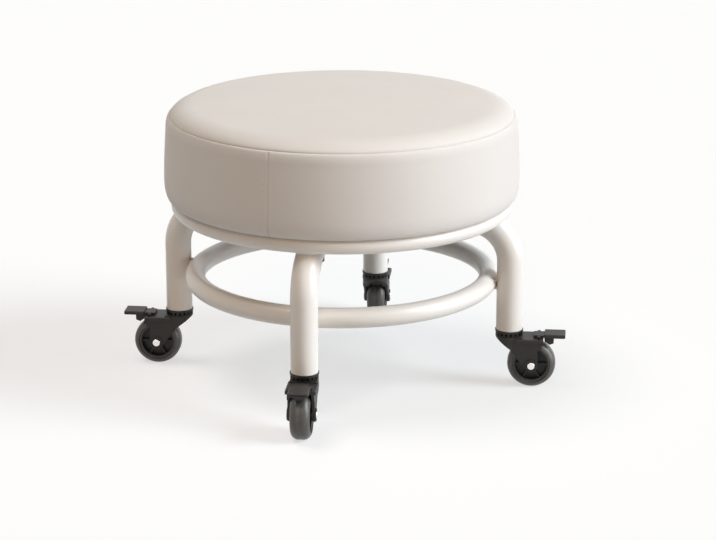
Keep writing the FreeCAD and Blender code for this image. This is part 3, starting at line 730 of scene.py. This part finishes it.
def ring_weld_runs():
    """Weld runs where the lower ring meets each leg, over and under the ring."""
    tube = (LOWER_RING_HIGH[2] - LOWER_RING_LOW[2]) / 2
    middle = (LOWER_RING_HIGH[2] + LOWER_RING_LOW[2]) / 2
    touch = LOWER_RING_HIGH[0] - 0.9 * MM
    lift, tilt = tube * 0.36, 0.5
    runs = []
    for turn in LEG_TURNS:
        out, side = leg_frame(turn)
        for way in (1, -1):
            facing = (UP * way - out * tilt).normalized()
            run = []
            for s, sink, taper in across_leg(share=0.62):
                point = out * (touch + sink * WELD_WRAP) + side * s
                point.z = middle + way * (lift + sink * WELD_WRAP / 2)
                run.append((point, facing * taper))
            runs.append(run)
    return runs


def shoulder_weld_runs():
    """Weld runs where the upper ring sits on each leg's bend, outside and inside."""
    tube = (UPPER_RING_HIGH[2] - UPPER_RING_LOW[2]) / 2
    centre_z = (UPPER_RING_HIGH[2] + UPPER_RING_LOW[2]) / 2
    centre_r = UPPER_RING_HIGH[0] - tube
    lean = math.radians(58)
    drop, apart, tilt = tube * 0.86, tube * 0.46, 0.4
    runs = []
    for turn in LEG_TURNS:
        out, side = leg_frame(turn)
        normal = out * math.cos(lean) + UP * math.sin(lean)
        along = out * math.sin(lean) - UP * math.cos(lean)
        middle = out * centre_r + UP * centre_z
        for way in (1, -1):
            facing = (along * way + normal * tilt).normalized()
            beside = middle + along * way * apart
            runs.append([(beside - normal * (drop + sink * WELD_WRAP) + side * s, facing * taper)
                         for s, sink, taper in across_leg(share=0.66)])
    return runs


def staple_runs(trim):
    """Round path for the staples that hold the turned-under cover."""
    r = DUST_COVER_RADIUS + trim.staple_inset
    turns = [math.radians(degrees) for degrees in range(0, 361, 2)]
    return [[(Vector((r * math.cos(t), r * math.sin(t), BAND_LOW[2])), -UP) for t in turns]]


def stitch_runs(cover, sizes, trim):
    """Upright path beside the closing seam, lying on the filled cover."""
    steps, lift = 40, 0.05 * MM
    tree = surface_tree(cover.data)
    turn = sizes.upright_angle - trim.stitch_offset / BAND_HIGH[0]
    outward = Vector((math.cos(turn), math.sin(turn), 0))
    low = BAND_LOW[2] + 4 * MM
    high = seam_place(sizes)[1] - 3 * MM
    run = []
    for i in range(steps + 1):
        start = outward * (BAND_HIGH[0] * 1.2) + UP * (low + (high - low) * i / steps)
        spot, normal, _, _ = tree.ray_cast(start, -outward)
        if spot is None:
            raise RuntimeError("the stitches found no cover to lie on")
        run.append((spot + normal * lift, normal))
    return [run]


class STOOL_OT_finishes(bpy.types.Operator):
    """Makes the materials and gives each carried-over part its finish"""
    bl_idname = "stool.finishes"
    bl_label = "Finishes"

    def execute(self, context):
        finishes = make_finishes(context.scene.stool_colours)
        for entry in frame["record"]["subparts"]:
            node = frame["nodes"][entry["node"]]
            # The foam has no finish of its own, because the cushion's cover stands for it
            material = finishes.get(entry["material_slot"], finishes["leather_cover"])
            node.data.materials.clear()
            node.data.materials.append(material)
        return {"FINISHED"}


class STOOL_OT_cushion(bpy.types.Operator):
    """Turns the seat's cover, fills it with cloth pressure and sews its seams"""
    bl_idname = "stool.cushion"
    bl_label = "Cushion"

    def execute(self, context):
        sizes = context.scene.stool_cushion
        fine_step = 0.3 * MM / BAND_HIGH[0]
        angles = band_angles(sizes.upright_angle, fine_step, fine_count=60, coarse=300)
        mesh = lathe("seat_cushion", cushion_profile(sizes), angles)
        fill = remeshed_copy(mesh, sizes.voxel)
        moves = fill_cover(fill, sizes)
        carry_swell(mesh, fill, moves)
        bpy.data.objects.remove(fill)
        sew(mesh, sizes)
        cushion = new_piece("seat_cushion", mesh)
        mesh.materials.append(bpy.data.materials["coated_leather"])
        finish_piece(cushion,
                     replaced=("seat_top_panel", "seat_side_band", "seat_foam"))
        return {"FINISHED"}


class STOOL_OT_stitches(bpy.types.Operator):
    """Sews a row of stitches beside the side band's closing seam"""
    bl_idname = "stool.stitches"
    bl_label = "Stitches"

    def execute(self, context):
        trim = context.scene.stool_trim
        runs = stitch_runs(bpy.data.objects["seat_cushion"], context.scene.stool_cushion, trim)
        height = trim.stitch_width * STITCH_HEIGHT
        sizes = (trim.stitch_pitch, trim.stitch_length, trim.stitch_width, height)
        piece = beads("seat_stitches", runs, sizes, bpy.data.materials["polyester_thread"])
        finish_piece(piece)
        return {"FINISHED"}


class STOOL_OT_staples(bpy.types.Operator):
    """Staples the cover's turned-under edge to the board"""
    bl_idname = "stool.staples"
    bl_label = "Staples"

    def execute(self, context):
        trim = context.scene.stool_trim
        height = trim.staple_width * STAPLE_HEIGHT
        sizes = (trim.staple_pitch, trim.staple_length, trim.staple_width, height)
        zinc = bpy.data.materials["zinc_plated_steel"]
        piece = beads("seat_staples", staple_runs(trim), sizes, zinc)
        finish_piece(piece)
        return {"FINISHED"}


class STOOL_OT_welds(bpy.types.Operator):
    """Lays the weld beads that join the rings to the legs"""
    bl_idname = "stool.welds"
    bl_label = "Welds"

    def execute(self, context):
        trim = context.scene.stool_trim
        ripple, height = trim.weld_pitch * WELD_OVERLAP, trim.weld_width * WELD_HEIGHT
        sizes = (trim.weld_pitch, ripple, trim.weld_width, height)
        coat = bpy.data.materials["powder_coat"]
        finish_piece(beads("lower_ring_welds", ring_weld_runs(), sizes, coat))
        finish_piece(beads("upper_ring_welds", shoulder_weld_runs(), sizes, coat))
        return {"FINISHED"}


def first_seen(tree):
    """One where the camera sees a surface, also in a mirror or through glass, or else nought."""
    path = add_node(tree, "ShaderNodeLightPath").outputs
    plain = add_node(tree, "ShaderNodeMath", {0: path["Is Camera Ray"], 1: path["Is Glossy Ray"]},
                     operation="MAXIMUM")
    return add_node(tree, "ShaderNodeMath", {0: plain, 1: path["Is Transmission Ray"]},
                    operation="MAXIMUM")


def studio_floor(colours, stage):
    """Pale floor that stays near white to the camera and keeps the shadow."""
    material, tree, shader = new_material("studio_floor")
    seen = first_seen(tree)
    tone = add_node(tree, "ShaderNodeMix", {"Factor": seen, "A": shade(colours.floor, stage.bounce),
                                            "B": shade(colours.floor, stage.floor_seen)},
                    data_type="RGBA")
    glow = add_node(tree, "ShaderNodeMath", {0: seen, 1: stage.floor_glow}, operation="MULTIPLY")
    set_inputs(tree, shader, {"Base Color": tone, "Roughness": 0.9, "Specular IOR Level": 0.1,
                              "Emission Strength": glow, "Emission Color": WHITE})
    mesh = bpy.data.meshes.new("studio_floor")
    corners = [(x * FLOOR_REACH, y * FLOOR_REACH, 0) for x, y in ((-1, -1), (1, -1), (1, 1), (-1, 1))]
    mesh.from_pydata(corners, [], [(0, 1, 2, 3)])
    mesh.materials.append(material)
    floor = new_piece("studio_floor", mesh)


def studio_sky(tone, level):
    """Even surround: full white to camera, gloss and glass, plain level for the rest."""
    world = bpy.data.worlds.new("studio_sky")
    world.use_nodes = True
    tree = world.node_tree
    tree.nodes.clear()
    seen = first_seen(tree)
    hue = add_node(tree, "ShaderNodeMix", {"Factor": seen, "A": (*tone, 1.0), "B": WHITE},
                   data_type="RGBA")
    strength = add_node(tree, "ShaderNodeMapRange", {"Value": seen, "To Min": level, "To Max": 1.0})
    sky = add_node(tree, "ShaderNodeBackground", {"Color": hue, "Strength": strength})
    add_node(tree, "ShaderNodeOutputWorld", {"Surface": sky})
    bpy.context.scene.world = world


def aimed(thing, place, aim):
    """Puts a lamp or camera at a place, pointing at its aim."""
    thing.location = place
    thing.rotation_euler = (Vector(aim) - Vector(place)).to_track_quat("-Z", "Y").to_euler()


def broad_lamp(name, tone, strength, softness, direction):
    """Broad, even light that shines from a direction."""
    data = bpy.data.lights.new(name, "SUN")
    data.color = tone
    data.energy = strength
    data.angle = softness
    lamp = bpy.data.objects.new(name, data)
    bpy.context.scene.collection.objects.link(lamp)
    aimed(lamp, direction * LAMP_DISTANCE, (0, 0, 0))


class STOOL_OT_stage(bpy.types.Operator):
    """Sets the floor, the soft studio light and the camera"""
    bl_idname = "stool.stage"
    bl_label = "Stage"

    def execute(self, context):
        stage = context.scene.stool_stage
        turn, lift = stage.azimuth, stage.elevation
        right = Vector((math.cos(turn), math.sin(turn), 0))
        level_back = Vector((math.sin(turn), -math.cos(turn), 0))
        back = level_back * math.cos(lift) + UP * math.sin(lift)
        aim = right * stage.aim_right + UP * stage.aim_height
        studio_floor(context.scene.stool_colours, stage)
        studio_sky(stage.sky_colour, stage.sky)
        for name in ("side", "low", "top", "fill"):
            tone, strength, round_to, height = (getattr(stage, name + ending) for ending in
                                                ("_colour", "_strength", "_turn", "_height"))
            level = right * math.sin(round_to) + level_back * math.cos(round_to)
            direction = level * math.cos(height) + UP * math.sin(height)
            broad_lamp(name + "_lamp", tone, strength, stage.softness, direction)
        data = bpy.data.cameras.new("stool_camera")
        data.sensor_width = 36.0
        data.lens = stage.focal
        data.clip_end = 50.0
        camera = bpy.data.objects.new("stool_camera", data)
        context.scene.collection.objects.link(camera)
        aimed(camera, aim + back * stage.distance, aim)
        context.scene.camera = camera
        context.scene.view_settings.view_transform = "Standard"
        return {"FINISHED"}


class STOOL_PT_panel(bpy.types.Panel):
    bl_idname = "STOOL_PT_panel"
    bl_label = "Rolling Stool"
    bl_space_type = "VIEW_3D"
    bl_region_type = "UI"
    bl_category = "Stool"

    def draw(self, context):
        for operator in OPERATORS:
            self.layout.operator(operator.bl_idname)
        for group, kind in PROPERTY_GROUPS.items():
            box = self.layout.box()
            for name in kind.__annotations__:
                box.prop(getattr(context.scene, group), name)


PROPERTY_GROUPS = {"stool_cushion": StoolCushionSizes, "stool_trim": StoolTrimSizes,
                   "stool_colours": StoolColours, "stool_stage": StoolStage}
OPERATORS = (STOOL_OT_finishes, STOOL_OT_cushion, STOOL_OT_stitches, STOOL_OT_staples, STOOL_OT_welds,
             STOOL_OT_stage)


def register():
    for kind in (*PROPERTY_GROUPS.values(), *OPERATORS, STOOL_PT_panel):
        bpy.utils.register_class(kind)
    for name, kind in PROPERTY_GROUPS.items():
        setattr(bpy.types.Scene, name, bpy.props.PointerProperty(type=kind))


def unregister():
    for name in PROPERTY_GROUPS:
        delattr(bpy.types.Scene, name)
    for kind in reversed((*PROPERTY_GROUPS.values(), *OPERATORS, STOOL_PT_panel)):
        bpy.utils.unregister_class(kind)


def main():
    register()
    for operator in OPERATORS:
        group, name = operator.bl_idname.split(".")
        getattr(getattr(bpy.ops, group), name)()


if __name__ == "__main__":
    main()
